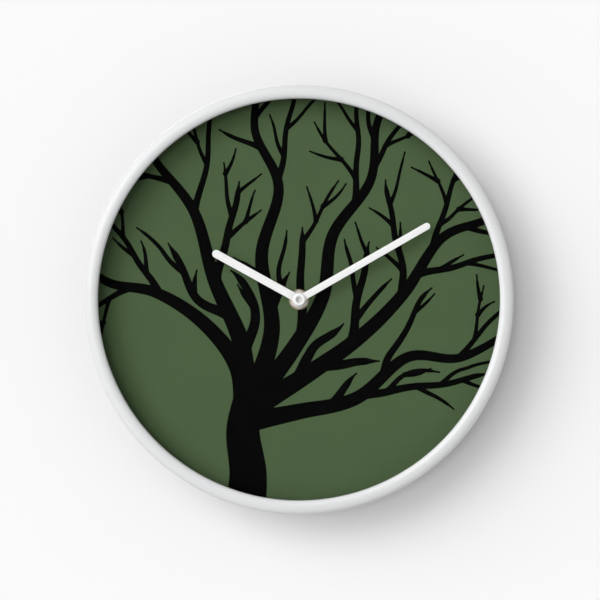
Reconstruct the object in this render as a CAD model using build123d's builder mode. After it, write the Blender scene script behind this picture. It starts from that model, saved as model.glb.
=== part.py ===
from build123d import *
import math
import os

# Round analogue wall clock with a battery quartz movement.
# Millimetres. +Z is up as the clock hangs, +X is to the right of somebody looking at the dial,
# and the dial faces -Y. The origin is on the dial's axis, in the plane of the wall.
# "f" is a distance in front of the wall (f = -Y). "d" is a depth inside the movement,
# measured from the movement's front face towards the wall.

os.makedirs("parts", exist_ok=True)

# ------------------------------------------------------------------ driving dimensions
R_OUT = 125.0            # outside radius of the rim
RIM_W = 8.0              # width of the bead seen from the front
BEAD_OUT = (4.9, 3.4)    # half-axes of the ellipse of the bead's outer side: across, and from front to back
BEAD_IN_H = 2.3          # front to back of its inner side
FLANK = (1.1, 5.0)       # half-axes of the rounded flank between the bead and the straight side
KNEE = 0.8               # where the flank starts, inside the outside radius
DEPTH = 45.0             # wall to crest of the rim
R_IN = R_OUT - RIM_W     # clear sight radius
R_BORE = 120.6           # bore of the rim behind its front lip
R_STACK = 120.3          # lens, spacer ring, dial and backing plate
R_COVER = 124.8          # back cover
COVER_T = 2.5            # back cover plate
FIELD_STEP = 0.8         # recess of the back cover's field, so only its border meets the wall
FIELD_R = 110.0
R_SCREW = 122.7          # circle of the cover's screws
N_SCREWS = 8

LIP_F = 40.0             # back of the rim's front lip, where the lens seats
LENS_T = 2.0
SPACER_H = 13.0
DIAL_T = 1.0
PLATE_T = 3.0
DIAL_F = LIP_F - LENS_T - SPACER_H          # front of the dial: 25
PLATE_F = DIAL_F - DIAL_T                   # front of the backing plate: 24
PLATE_BACK_F = PLATE_F - PLATE_T            # its back: 21
GASKET_T = 0.5
MOVE_F = PLATE_BACK_F - GASKET_T            # movement's front face: 20.5
CASE_D = 17.0                               # movement's depth
CASE_BACK_F = MOVE_F - CASE_D               # 3.5
CASE_W = 56.0
WALL = 1.5
FRONT_WALL = 1.8
WELL = 62.0                                 # window and well of the back cover
WELL_WALL = 2.0
RIB_H = 2.0

KEY_Z = 92.0             # keyhole: entry hole's height over the dial's axis
KEY_R = 4.5              # entry hole
KEY_SLOT_R = 2.2         # half-width of the slot for the screw's shank
KEY_RISE = 9.0           # entry hole to the slot's top centre

MIN_LEN, MIN_W, MIN_ANGLE = 88.2, 4.1, 60.2     # minute hand: length, width, degrees clockwise from 12
HOUR_LEN, HOUR_W, HOUR_ANGLE = 57.8, 4.7, 298.85
HAND_T = 0.5
HOUR_HAND_F = 30.6       # back of the hour hand's blade
MIN_HAND_F = 33.2        # back of the minute hand's blade
NUT_AF = 10.0            # hexagon nut across flats

# ------------------------------------------------------------------ gear train layout
# Arbor centres as (X, Z). C carries the hands; M is the motion wheel; K is the setting stem;
# T is the third wheel; F is the intermediate wheel; R is the rotor.
M_MOTION, M_CT, M_CF, M_FR = 0.30, 0.27, 0.28, 0.20      # modules
M_TS = M_CT * (64 + 8) / (60 + 8)                        # same centre distance as M_CT's pair


def polar(c, r, deg):
    a = math.radians(deg)
    return (c[0] + r * math.cos(a), c[1] + r * math.sin(a))


A_CM, A_MK, A_CT, A_CF, A_FR = -20.0, 30.0, 75.0, 180.0, 135.0
C = (0.0, 0.0)
M = polar(C, M_MOTION * 60 / 2, A_CM)
K = polar(M, M_MOTION * 60 / 2, A_MK)
T = polar(C, M_CT * 72 / 2, A_CT)
F = polar(C, M_CF * 70 / 2, A_CF)
R = polar(F, M_FR * 72 / 2, A_FR)

THIN = 0.09              # tooth thinning, in modules, that gives the running backlash


def tooth_ring(c, z, m, x, phase):
    """Points of a spur gear's outline with z teeth, profile shift x, and a tooth centred at phase degrees."""
    alpha = math.radians(20)
    r = m * z / 2
    rb, ra, rf = r * math.cos(alpha), r + (1 + x) * m, r - (1.25 - x) * m
    inv = math.tan(alpha) - alpha
    half = (math.pi / 2 + 2 * x * math.tan(alpha)) / z - THIN * m / (2 * r)

    def psi(q):
        if q <= rb:
            return half + inv
        aq = math.acos(rb / q)
        return half + inv - (math.tan(aq) - aq)

    while psi(ra) * ra < 0.16 * m:                       # keep a flat on the tip of a small pinion's leaves
        ra -= 0.02 * m
    radii = [rf, rb, (rb + ra) / 2, ra] if rf < rb * 0.999 else [rf, (rf + ra) / 2, ra]
    pts = []
    for i in range(z):
        mid = math.radians(phase) + 2 * math.pi * i / z
        side = [(q, psi(q)) for q in radii]
        for q, p in side:
            pts.append((c[0] + q * math.cos(mid - p), c[1] + q * math.sin(mid - p)))
        for q, p in reversed(side):
            pts.append((c[0] + q * math.cos(mid + p), c[1] + q * math.sin(mid + p)))
    return pts


def mate(phase_a, z_a, toward_b, z_b):
    """The phase of gear B that puts its teeth in mesh with gear A's; toward_b is the direction from A to B."""
    ua = ((toward_b - phase_a) * z_a / 360) % 1
    ub = (0.5 - ua) % 1
    return toward_b + 180 - ub * 360 / z_b


PH_CANNON = 0.0
PH_MOTION45 = mate(PH_CANNON, 15, A_CM, 45)
PH_SETTING = mate(PH_MOTION45, 45, A_MK, 15)
PH_MOTION12 = 0.0
PH_HOUR48 = mate(PH_MOTION12, 12, A_CM + 180, 48)
PH_CENTRE64 = 0.0
PH_THIRD8 = mate(PH_CENTRE64, 64, A_CT, 8)
PH_THIRD60 = 0.0
PH_SECOND8 = mate(PH_THIRD60, 60, A_CT + 180, 8)
PH_SECOND60 = 0.0
PH_INTER10 = mate(PH_SECOND60, 60, A_CF, 10)
PH_INTER60 = 0.0
PH_ROTOR12 = mate(PH_INTER60, 60, A_FR, 12)


def at(f):
    """The plane f in front of the wall. Its local x and y are X and Z, and it extrudes to the front."""
    return Plane.XZ.offset(f)


def deep(d):
    """The plane at depth d in the movement."""
    return at(MOVE_F - d)


BACK = Plane(origin=(0, 0, 0), x_dir=(1, 0, 0), z_dir=(0, 1, 0))   # the wall plane, looking to the wall


# ================================================================== case of the clock
# Rim: one moulded ring. A rounded bead in front, a steep rounded flank, a straight side wall, an inner
# lip that the lens seats against, and a stepped bore behind it.
CREST_R = R_OUT - BEAD_OUT[0]
BEAD_IN_W = CREST_R - R_IN
KNEE_A = math.degrees(math.acos((BEAD_OUT[0] - KNEE) / BEAD_OUT[0]))     # where the bead ends, round its ellipse
FLANK_A = math.degrees(math.acos((FLANK[0] - KNEE) / FLANK[0]))          # where the flank starts, round its own
KNEE_F = DEPTH - BEAD_OUT[1] * (1 - math.sin(math.radians(KNEE_A)))
FLANK_F = KNEE_F - FLANK[1] * math.sin(math.radians(FLANK_A))            # the flank meets the straight side here
with BuildPart() as frame_ring:
    with BuildSketch(Plane.XY):
        with BuildLine():
            Polyline((R_IN, -(DEPTH - BEAD_IN_H)), (R_IN, -LIP_F), (R_BORE, -LIP_F), (R_BORE, -COVER_T),
                     (R_OUT - 0.8, -COVER_T), (R_OUT, -COVER_T - 0.8), (R_OUT, -FLANK_F))
            EllipticalCenterArc((R_OUT - FLANK[0], -FLANK_F), FLANK[0], FLANK[1], start_angle=360 - FLANK_A, arc_size=FLANK_A)
            EllipticalCenterArc((CREST_R, -(DEPTH - BEAD_OUT[1])), BEAD_OUT[0], BEAD_OUT[1], start_angle=270, arc_size=90 - KNEE_A)
            EllipticalCenterArc((CREST_R, -(DEPTH - BEAD_IN_H)), BEAD_IN_W, BEAD_IN_H, start_angle=180, arc_size=90)
        make_face()
    revolve(axis=Axis.Y)
    with BuildSketch(at(COVER_T)):                      # pilot holes for the cover's screws
        with PolarLocations(R_SCREW, N_SCREWS, start_angle=22.5):
            Circle(0.85)
    extrude(amount=9, mode=Mode.SUBTRACT)
frame_ring.part.label = "frame_ring"
export_step(frame_ring.part, "parts/frame_ring.step")

# Clear flat lens, seated behind the lip.
with BuildPart() as lens:
    with BuildSketch(at(LIP_F - LENS_T)):
        Circle(R_STACK)
    extrude(amount=LENS_T)
    chamfer(lens.edges(), 0.2)
lens.part.label = "lens"
export_step(lens.part, "parts/lens.step")

# Spacer ring that holds the lens off the dial, so the hands can turn. The rim's lip hides it from the front.
with BuildPart() as dial_spacer_ring:
    with BuildSketch(at(DIAL_F)):
        Circle(R_STACK)
        Circle(R_IN + 1.6, mode=Mode.SUBTRACT)
    extrude(amount=SPACER_H)
dial_spacer_ring.part.label = "dial_spacer_ring"
export_step(dial_spacer_ring.part, "parts/dial_spacer_ring.step")

# Printed dial sheet.
with BuildPart() as dial_face:
    with BuildSketch(at(PLATE_F)):
        Circle(R_STACK)
        Circle(4.15, mode=Mode.SUBTRACT)
    extrude(amount=DIAL_T)
dial_face.part.label = "dial_face"
export_step(dial_face.part, "parts/dial_face.step")

# Stiff backing plate that carries the movement.
with BuildPart() as dial_plate:
    with BuildSketch(at(PLATE_BACK_F)):
        Circle(R_STACK)
        Circle(4.15, mode=Mode.SUBTRACT)
    extrude(amount=PLATE_T)
dial_plate.part.label = "dial_plate"
export_step(dial_plate.part, "parts/dial_plate.step")

# Rear spacer ring: presses the dial stack forward against the lip when the cover is screwed on.
with BuildPart() as rear_spacer_ring:
    with BuildSketch(at(COVER_T)):
        Circle(R_STACK)
        Circle(R_IN + 0.2, mode=Mode.SUBTRACT)
    extrude(amount=PLATE_BACK_F - COVER_T)
rear_spacer_ring.part.label = "rear_spacer_ring"
export_step(rear_spacer_ring.part, "parts/rear_spacer_ring.step")

# Back cover: a plate with a well for the movement, shallow stiffening ribs inside, a keyhole to
# hang it by, and screw holes.
with BuildPart() as back_cover:
    with BuildSketch(at(0)):
        Circle(R_COVER)
        RectangleRounded(WELL, WELL, 3, mode=Mode.SUBTRACT)
    extrude(amount=COVER_T)
    chamfer(back_cover.edges().filter_by(GeomType.CIRCLE).sort_by(Edge.length)[-2:], 0.3)
    with BuildSketch(at(COVER_T)):
        RectangleRounded(WELL + 2 * WELL_WALL, WELL + 2 * WELL_WALL, 5)
        RectangleRounded(WELL, WELL, 3, mode=Mode.SUBTRACT)
    extrude(amount=PLATE_BACK_F - COVER_T)
    with BuildSketch(at(COVER_T)):
        with PolarLocations(74, 12, start_angle=15):
            Rectangle(80, 1.6)
        RectangleRounded(WELL + 1, WELL + 1, 3.5, mode=Mode.SUBTRACT)
    extrude(amount=RIB_H)
    with BuildSketch(at(0)):                            # recessed field, with a flush pad round the keyhole
        Circle(FIELD_R)
        with Locations((0, KEY_Z + 8)):
            RectangleRounded(26, 40, 8, mode=Mode.SUBTRACT)
    extrude(amount=FIELD_STEP, mode=Mode.SUBTRACT)
    with BuildSketch(at(0)):                            # keyhole
        with Locations((0, KEY_Z)):
            Circle(KEY_R)
        with Locations((0, KEY_Z + KEY_RISE / 2)):
            Rectangle(2 * KEY_SLOT_R, KEY_RISE)
        with Locations((0, KEY_Z + KEY_RISE)):
            Circle(KEY_SLOT_R)
    extrude(amount=COVER_T, mode=Mode.SUBTRACT)
    with Locations(BACK):
        with PolarLocations(R_SCREW, N_SCREWS, start_angle=22.5):
            CounterSinkHole(radius=1.05, counter_sink_radius=1.85, depth=COVER_T + 1)
back_cover.part.label = "back_cover"
export_step(back_cover.part, "parts/back_cover.step")

# Eight countersunk self-tapping screws with a cross recess.
with BuildPart() as back_cover_screws:
    with Locations(BACK):
        with PolarLocations(R_SCREW, N_SCREWS, start_angle=22.5):
            Cone(bottom_radius=0.8, top_radius=1.75, height=1.0, align=(Align.CENTER, Align.CENTER, Align.MAX))
            Cylinder(radius=0.8, height=10.5, align=(Align.CENTER, Align.CENTER, Align.MAX))
            Box(2.2, 0.45, 0.6, align=(Align.CENTER, Align.CENTER, Align.MAX), mode=Mode.SUBTRACT)
            Box(0.45, 2.2, 0.6, align=(Align.CENTER, Align.CENTER, Align.MAX), mode=Mode.SUBTRACT)
back_cover_screws.part.label = "back_cover_screws"
export_step(back_cover_screws.part, "parts/back_cover_screws.step")

# ================================================================== fixing of the movement
# Threaded bush: a tube through plate and dial, with a flange inside the movement's front wall.
BUSH_R, BUSH_BORE = 3.9, 2.55
with BuildPart() as shaft_bush:
    with BuildSketch(deep(FRONT_WALL)):
        Circle(5.5)
    extrude(amount=0.8)
    with BuildSketch(deep(FRONT_WALL)):
        Circle(BUSH_R)
    extrude(amount=29.0 - (MOVE_F - FRONT_WALL))
    with BuildSketch(deep(FRONT_WALL)):
        Circle(BUSH_BORE)
    extrude(amount=29.0 - (MOVE_F - FRONT_WALL), mode=Mode.SUBTRACT)
    chamfer(shaft_bush.faces().sort_by(Axis.Y)[0].edges(), 0.2)
    # thread relief grooves in the length that takes the nut
    for k in range(4):
        with BuildSketch(at(25.6 + 0.85 * k)):
            Circle(BUSH_R + 0.5)
            Circle(BUSH_R - 0.25, mode=Mode.SUBTRACT)
        extrude(amount=0.3, mode=Mode.SUBTRACT)
shaft_bush.part.label = "shaft_bush"
export_step(shaft_bush.part, "parts/shaft_bush.step")

with BuildPart() as rubber_gasket:
    with BuildSketch(at(MOVE_F)):
        Circle(8.5)
        Circle(BUSH_R + 0.05, mode=Mode.SUBTRACT)
    extrude(amount=GASKET_T)
rubber_gasket.part.label = "rubber_gasket"
export_step(rubber_gasket.part, "parts/rubber_gasket.step")

with BuildPart() as fixing_washer:
    with BuildSketch(at(DIAL_F)):
        Circle(6.0)
        Circle(BUSH_R + 0.1, mode=Mode.SUBTRACT)
    extrude(amount=0.5)
fixing_washer.part.label = "fixing_washer"
export_step(fixing_washer.part, "parts/fixing_washer.step")

NUT_H = 2.3
with BuildPart() as fixing_nut:
    with BuildSketch(at(DIAL_F + 0.5)):
        RegularPolygon(NUT_AF / 2, 6, major_radius=False, rotation=30)
    extrude(amount=NUT_H)
    with BuildSketch(Plane.XY):                         # turned chamfer on the hexagon's front corners
        with BuildLine():
            Polyline((0, -(DIAL_F + 0.4)), (8, -(DIAL_F + 0.4)), (8, -(DIAL_F + 0.5 + NUT_H - 1.6)),
                     (5.1, -(DIAL_F + 0.5 + NUT_H)), (0, -(DIAL_F + 0.5 + NUT_H)), close=True)
        make_face()
    revolve(axis=Axis.Y, mode=Mode.INTERSECT)
    with BuildSketch(at(DIAL_F + 0.5)):
        Circle(BUSH_R + 0.05)
    extrude(amount=NUT_H, mode=Mode.SUBTRACT)
fixing_nut.part.label = "fixing_nut"
export_step(fixing_nut.part, "parts/fixing_nut.step")

# ================================================================== movement: housing
BAY_TOP, BAY_BOTTOM = -12.3, -27.0                     # battery bay, along Z
TRAIN_BOTTOM, TRAIN_TOP = -11.1, 26.5                  # train bay, along Z
INNER_X = 26.5
LID_T = 1.5
BRIDGE_D0, BRIDGE_D1 = 12.2, 13.2                      # train bridge
PCB_D0, PCB_D1 = 12.4, 13.2                            # circuit board
BRIDGE_POSTS = [((-21.0, -7.0), 1.4), ((14.5, 9.5), 1.4), ((-4.0, -9.8), 1.2)]
PCB_POSTS = [((22.6, 16.5), 1.2), ((8.5, 24.0), 1.2)]
PIVOT_HOLE = 0.55
ARBOR = 0.5

with BuildPart() as movement_case:
    with BuildSketch(at(CASE_BACK_F)):
        RectangleRounded(CASE_W, CASE_W, 4)
    extrude(amount=CASE_D)
    chamfer(movement_case.faces().sort_by(Axis.Y)[0].edges(), 0.5)
    with BuildSketch(at(CASE_BACK_F)):                  # train bay, open to the back
        with Locations((0, (TRAIN_TOP + TRAIN_BOTTOM) / 2)):
            Rectangle(2 * INNER_X, TRAIN_TOP - TRAIN_BOTTOM)
    extrude(amount=CASE_D - FRONT_WALL, mode=Mode.SUBTRACT)
    with BuildSketch(at(CASE_BACK_F)):                  # seat of the lid
        with Locations((0, (CASE_W / 2 + 1 + BAY_TOP) / 2)):
            Rectangle(CASE_W + 2, CASE_W / 2 + 1 - BAY_TOP)
    extrude(amount=LID_T, mode=Mode.SUBTRACT)
    with BuildSketch(at(CASE_BACK_F)):                  # battery bay, open to the back
        with Locations((0, (BAY_TOP + BAY_BOTTOM) / 2)):
            Rectangle(2 * INNER_X, BAY_TOP - BAY_BOTTOM)
    extrude(amount=CASE_D - FRONT_WALL, mode=Mode.SUBTRACT)
    with BuildSketch(at(CASE_BACK_F)):                  # finger notch to lift the battery out
        with Locations((0, -CASE_W / 2)):
            RectangleRounded(20, 6, 2)
    extrude(amount=7.0, mode=Mode.SUBTRACT)
    for c, r in BRIDGE_POSTS:                           # posts with stub pins for the train bridge
        with BuildSketch(deep(BRIDGE_D0)):
            with Locations(c):
                Circle(r)
        extrude(amount=BRIDGE_D0 - FRONT_WALL)
        with BuildSketch(deep(BRIDGE_D1)):
            with Locations(c):
                Circle(0.6)
        extrude(amount=BRIDGE_D1 - BRIDGE_D0)
    for c, r in PCB_POSTS:                              # posts with stub pins for the circuit board
        with BuildSketch(deep(PCB_D0)):
            with Locations(c):
                Circle(r)
        extrude(amount=PCB_D0 - FRONT_WALL)
        with BuildSketch(deep(PCB_D1)):
            with Locations(c):
                Circle(0.5)
        extrude(amount=PCB_D1 - PCB_D0)
    with BuildSketch(deep(4.8)):                        # post that the motion wheel turns on
        with Locations(M):
            Circle(0.7)
    extrude(amount=4.8 - FRONT_WALL)
    for x in (-24.05, -5.95):                           # posts under the two ends of the coil's core
        with BuildSketch(deep(7.2)):
            with Locations((x, 22.9)):
                Rectangle(2.0, 2.4)
        extrude(amount=7.2 - FRONT_WALL)
    with BuildSketch(deep(FRONT_WALL)):                 # blind bearings of the third, intermediate and rotor arbors
        with Locations(T, F, R):
            Circle(PIVOT_HOLE)
    extrude(amount=0.9, mode=Mode.SUBTRACT)
    with BuildSketch(deep(FRONT_WALL)):                 # blind bearing of the setting stem
        with Locations(K):
            Circle(0.86)
    extrude(amount=0.9, mode=Mode.SUBTRACT)
    with BuildSketch(deep(FRONT_WALL)):                 # seat of the bush
        Circle(BUSH_R + 0.04)
    extrude(amount=FRONT_WALL, mode=Mode.SUBTRACT)
    with BuildSketch(deep(FRONT_WALL)):
        Circle(5.55)
    extrude(amount=0.8, mode=Mode.SUBTRACT)
    # slots in the partition for the two battery contacts
    with BuildSketch(deep(8.1)):
        with Locations((26.2, (BAY_TOP + TRAIN_BOTTOM) / 2)):
            Rectangle(0.6, 1.4)
    extrude(amount=3.2, mode=Mode.SUBTRACT)
    with BuildSketch(deep(15.5)):
        with Locations((-26.2, (BAY_TOP + TRAIN_BOTTOM) / 2)):
            Rectangle(0.6, 1.4)
    extrude(amount=2.6, mode=Mode.SUBTRACT)
    # windows that the lid's snap hooks spring into
    with BuildSketch(deep(13.6)):
        with Locations((-27.2, 8.0), (27.2, -5.0)):
            Rectangle(1.8, 6.2)
        with Locations((0, 27.2)):
            Rectangle(6.2, 1.8)
    extrude(amount=1.6, mode=Mode.SUBTRACT)
movement_case.part.label = "movement_case"
export_step(movement_case.part, "parts/movement_case.step")

with BuildPart() as movement_lid:
    with BuildSketch(at(CASE_BACK_F)):
        RectangleRounded(CASE_W, CASE_W, 4)
        with Locations((0, (-CASE_W / 2 - 1 + BAY_TOP) / 2)):
            Rectangle(CASE_W + 2, CASE_W / 2 + 1 + BAY_TOP, mode=Mode.SUBTRACT)
        with Locations(K):
            Circle(1.27, mode=Mode.SUBTRACT)
    extrude(amount=LID_T)
    chamfer(movement_lid.faces().sort_by(Axis.Y)[-1].outer_wire().edges(), 0.4)
    with BuildSketch(deep(CASE_D - LID_T)):             # legs of the three snap hooks
        with Locations((-25.75, 8.0), (25.75, -5.0)):
            Rectangle(1.3, 6.0)
        with Locations((0, 25.75)):
            Rectangle(6.0, 1.3)
    extrude(amount=4.3)
    with BuildSketch(deep(13.4)):                       # their noses
        with Locations((-26.9, 8.0), (26.9, -5.0)):
            Rectangle(1.2, 5.8)
        with Locations((0, 26.9)):
            Rectangle(5.8, 1.2)
    extrude(amount=1.2)
movement_lid.part.label = "movement_lid"
export_step(movement_lid.part, "parts/movement_lid.step")

with BuildPart() as train_bridge:
    with BuildSketch(deep(BRIDGE_D1)):
        with BuildLine():
            Polyline((-22.8, -8.6), (-22.8, 8.4), (-10.0, 12.0), (2.5, 12.2), (16.2, 11.6), (16.6, 8.0), (7.0, 5.0),
                     (4.5, -4.0), (-1.8, -10.9), (-6.2, -10.9), (-11.5, -8.6), close=True)
        make_face()
        with Locations(C, T, F, R):
            Circle(PIVOT_HOLE, mode=Mode.SUBTRACT)
        with Locations(*[c for c, r in BRIDGE_POSTS]):
            Circle(0.63, mode=Mode.SUBTRACT)
    extrude(amount=BRIDGE_D1 - BRIDGE_D0)
train_bridge.part.label = "train_bridge"
export_step(train_bridge.part, "parts/train_bridge.step")

# ================================================================== hands and motion work
with BuildPart() as cannon_pinion:
    with BuildSketch(deep(4.8)):                        # 15 leaves
        with BuildLine():
            Polyline(*tooth_ring(C, 15, M_MOTION, 0.3, PH_CANNON), close=True)
        make_face()
    extrude(amount=1.2)
    with BuildSketch(deep(6.6)):                        # rear sleeve that the centre wheel slips on
        Circle(1.3)
    extrude(amount=2.0)
    with BuildSketch(deep(4.0)):                        # pipe through the hour wheel
        Circle(1.85)
    extrude(amount=MIN_HAND_F - (MOVE_F - 4.0))
    with BuildSketch(at(MIN_HAND_F - 0.2)):             # threaded tip for the minute hand and its nut
        Circle(1.4)
    extrude(amount=2.3)
    with BuildSketch(deep(6.6)):
        Circle(0.6)
    extrude(amount=40, mode=Mode.SUBTRACT)
cannon_pinion.part.label = "cannon_pinion"
export_step(cannon_pinion.part, "parts/cannon_pinion.step")

with BuildPart() as clutch_spring:
    with BuildSketch(deep(5.05)):
        Circle(2.8)
        Circle(1.33, mode=Mode.SUBTRACT)
    extrude(amount=0.25)
clutch_spring.part.label = "clutch_spring"
export_step(clutch_spring.part, "parts/clutch_spring.step")

with BuildPart() as clutch_clip:
    with BuildSketch(deep(6.5)):
        Circle(2.2)
        Circle(1.31, mode=Mode.SUBTRACT)
    extrude(amount=0.4)
clutch_clip.part.label = "clutch_clip"
export_step(clutch_clip.part, "parts/clutch_clip.step")

with BuildPart() as hour_wheel:
    with BuildSketch(deep(3.1)):                        # 48 teeth
        with BuildLine():
            Polyline(*tooth_ring(C, 48, M_MOTION, -0.35, PH_HOUR48), close=True)
        make_face()
    extrude(amount=0.8)
    with BuildSketch(deep(2.3)):
        Circle(3.5)
    extrude(amount=0.4)
    with BuildSketch(deep(2.5)):                        # pipe that carries the hour hand
        Circle(2.5)
    extrude(amount=31.6 - (MOVE_F - 2.5))
    with BuildSketch(deep(3.1)):
        Circle(1.95)
    extrude(amount=31.6 - (MOVE_F - 3.1), mode=Mode.SUBTRACT)
hour_wheel.part.label = "hour_wheel"
export_step(hour_wheel.part, "parts/hour_wheel.step")

with BuildPart() as motion_wheel:
    with BuildSketch(deep(4.5)):                        # 45 teeth
        with BuildLine():
            Polyline(*tooth_ring(M, 45, M_MOTION, -0.3, PH_MOTION45), close=True)
        make_face()
    extrude(amount=0.8)
    with BuildSketch(deep(3.8)):
        with Locations(M):
            Circle(1.5)
    extrude(amount=0.5)
    with BuildSketch(deep(3.4)):                        # 12 leaves
        with BuildLine():
            Polyline(*tooth_ring(M, 12, M_MOTION, 0.35, PH_MOTION12), close=True)
        make_face()
    extrude(amount=1.3)
    with BuildSketch(deep(4.5)):
        with Locations(M):
            Circle(0.76)
    extrude(amount=2.5, mode=Mode.SUBTRACT)
motion_wheel.part.label = "motion_wheel"
export_step(motion_wheel.part, "parts/motion_wheel.step")

with BuildPart() as setting_stem:
    with BuildSketch(deep(4.7)):                        # 15 leaves
        with BuildLine():
            Polyline(*tooth_ring(K, 15, M_MOTION, 0.3, PH_SETTING), close=True)
        make_face()
    extrude(amount=1.2)
    with BuildSketch(deep(18.6)):
        with Locations(K):
            Circle(1.2)
    extrude(amount=16.7)
    with BuildSketch(deep(1.95)):
        with Locations(K):
            Circle(0.8)
    extrude(amount=1.0)
setting_stem.part.label = "setting_stem"
export_step(setting_stem.part, "parts/setting_stem.step")

KNOB_R, KNOB_RIDGES = 7.0, 30
with BuildPart() as setting_knob:
    with BuildSketch(deep(19.6)):
        with BuildLine():
            knurl = []
            for i in range(KNOB_RIDGES):
                for part_of, q in ((-0.32, KNOB_R - 0.45), (-0.18, KNOB_R), (0.18, KNOB_R), (0.32, KNOB_R - 0.45)):
                    knurl.append(polar(K, q, (i + part_of) * 360 / KNOB_RIDGES))
            Polyline(*knurl, close=True)
        make_face()
    extrude(amount=2.4)
    with BuildSketch(deep(19.6)):                       # dished outer face with a raised boss
        with Locations(K):
            Circle(5.2)
            Circle(2.4, mode=Mode.SUBTRACT)
    extrude(amount=0.6, mode=Mode.SUBTRACT)
    with BuildSketch(deep(18.7)):
        with Locations(K):
            Circle(1.22)
    extrude(amount=1.5, mode=Mode.SUBTRACT)
setting_knob.part.label = "setting_knob"
export_step(setting_knob.part, "parts/setting_knob.step")

# Hour hand: a baton of sheet metal with a round boss, and a collet that grips the hour pipe.
def direction(clock_deg):
    a = math.radians(clock_deg)
    return (math.sin(a), math.cos(a))


with BuildPart() as hour_hand:
    hx, hz = direction(HOUR_ANGLE)
    with BuildSketch(at(HOUR_HAND_F)):
        with Locations(Location((hx * (HOUR_LEN - HOUR_W / 2) / 2, hz * (HOUR_LEN - HOUR_W / 2) / 2, 0), (0, 0, 90 - HOUR_ANGLE))):
            Rectangle(HOUR_LEN - HOUR_W / 2, HOUR_W)
        with Locations((hx * (HOUR_LEN - HOUR_W / 2), hz * (HOUR_LEN - HOUR_W / 2))):
            Circle(HOUR_W / 2)
        Circle(4.0)
        Circle(2.52, mode=Mode.SUBTRACT)
    extrude(amount=HAND_T)
    chamfer(hour_hand.faces().sort_by(Axis.Y)[0].outer_wire().edges(), 0.12)
hour_hand.part.label = "hour_hand"
export_step(hour_hand.part, "parts/hour_hand.step")

with BuildPart() as hour_hand_collet:
    with BuildSketch(at(HOUR_HAND_F - 1.3)):
        Circle(3.6)
        Circle(2.52, mode=Mode.SUBTRACT)
    extrude(amount=1.3)
hour_hand_collet.part.label = "hour_hand_collet"
export_step(hour_hand_collet.part, "parts/hour_hand_collet.step")

with BuildPart() as minute_hand:
    mx, mz = direction(MIN_ANGLE)
    with BuildSketch(at(MIN_HAND_F)):
        with Locations(Location((mx * (MIN_LEN - MIN_W / 2) / 2, mz * (MIN_LEN - MIN_W / 2) / 2, 0), (0, 0, 90 - MIN_ANGLE))):
            Rectangle(MIN_LEN - MIN_W / 2, MIN_W)
        with Locations((mx * (MIN_LEN - MIN_W / 2), mz * (MIN_LEN - MIN_W / 2))):
            Circle(MIN_W / 2)
        Circle(3.65)
        Circle(1.42, mode=Mode.SUBTRACT)
    extrude(amount=HAND_T)
    chamfer(minute_hand.faces().sort_by(Axis.Y)[0].outer_wire().edges(), 0.12)
minute_hand.part.label = "minute_hand"
export_step(minute_hand.part, "parts/minute_hand.step")

# Closed round nut over the end of the arbor, with a rounded shoulder and a shallow dish in its front.
NUT_F = MIN_HAND_F + HAND_T
NUT_R, NUT_FRONT = 3.7, NUT_F + 2.6
SHOULDER_W, SHOULDER_H = 1.2, 0.6
DISH_R, DISH_D = 2.2, 0.16
DISH_SPHERE = (DISH_R ** 2 + DISH_D ** 2) / (2 * DISH_D)
with BuildPart() as hand_nut:
    with BuildSketch(Plane.XY):
        with BuildLine():
            Polyline((0, -(NUT_F + 1.85)), (1.42, -(NUT_F + 1.85)), (1.42, -NUT_F), (NUT_R, -NUT_F), (NUT_R, -(NUT_FRONT - SHOULDER_H)))
            EllipticalCenterArc((NUT_R - SHOULDER_W, -(NUT_FRONT - SHOULDER_H)), SHOULDER_W, SHOULDER_H, start_angle=270, arc_size=90)
            Line((NUT_R - SHOULDER_W, -NUT_FRONT), (DISH_R, -NUT_FRONT))
            ThreePointArc((DISH_R, -NUT_FRONT),
                          (DISH_R / 2, -(NUT_FRONT - DISH_D + DISH_SPHERE - math.sqrt(DISH_SPHERE ** 2 - DISH_R ** 2 / 4))),
                          (0, -(NUT_FRONT - DISH_D)))
            Line((0, -(NUT_FRONT - DISH_D)), (0, -(NUT_F + 1.85)))
        make_face()
    revolve(axis=Axis.Y)
hand_nut.part.label = "hand_nut"
export_step(hand_nut.part, "parts/hand_nut.step")

# ================================================================== going train
with BuildPart() as centre_wheel:
    with BuildSketch(deep(6.0)):                        # 64 teeth
        with BuildLine():
            Polyline(*tooth_ring(C, 64, M_CT, -0.5, PH_CENTRE64), close=True)
        make_face()
        with PolarLocations(5.2, 5, start_angle=18):
            Circle(1.5, mode=Mode.SUBTRACT)
        Circle(1.36, mode=Mode.SUBTRACT)
    extrude(amount=0.8)
centre_wheel.part.label = "centre_wheel"
export_step(centre_wheel.part, "parts/centre_wheel.step")

with BuildPart() as third_wheel:
    with BuildSketch(deep(7.9)):                        # 60 teeth
        with BuildLine():
            Polyline(*tooth_ring(T, 60, M_TS, -0.5, PH_THIRD60), close=True)
        make_face()
    extrude(amount=0.8)
    with BuildSketch(deep(7.2)):
        with Locations(T):
            Circle(1.4)
    extrude(amount=1.0)
    with BuildSketch(deep(6.2)):                        # 8 leaves
        with BuildLine():
            Polyline(*tooth_ring(T, 8, M_CT, 0.5, PH_THIRD8), close=True)
        make_face()
    extrude(amount=1.2)
    with BuildSketch(deep(13.0)):
        with Locations(T):
            Circle(ARBOR)
    extrude(amount=12.05)
third_wheel.part.label = "third_wheel"
export_step(third_wheel.part, "parts/third_wheel.step")

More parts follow.
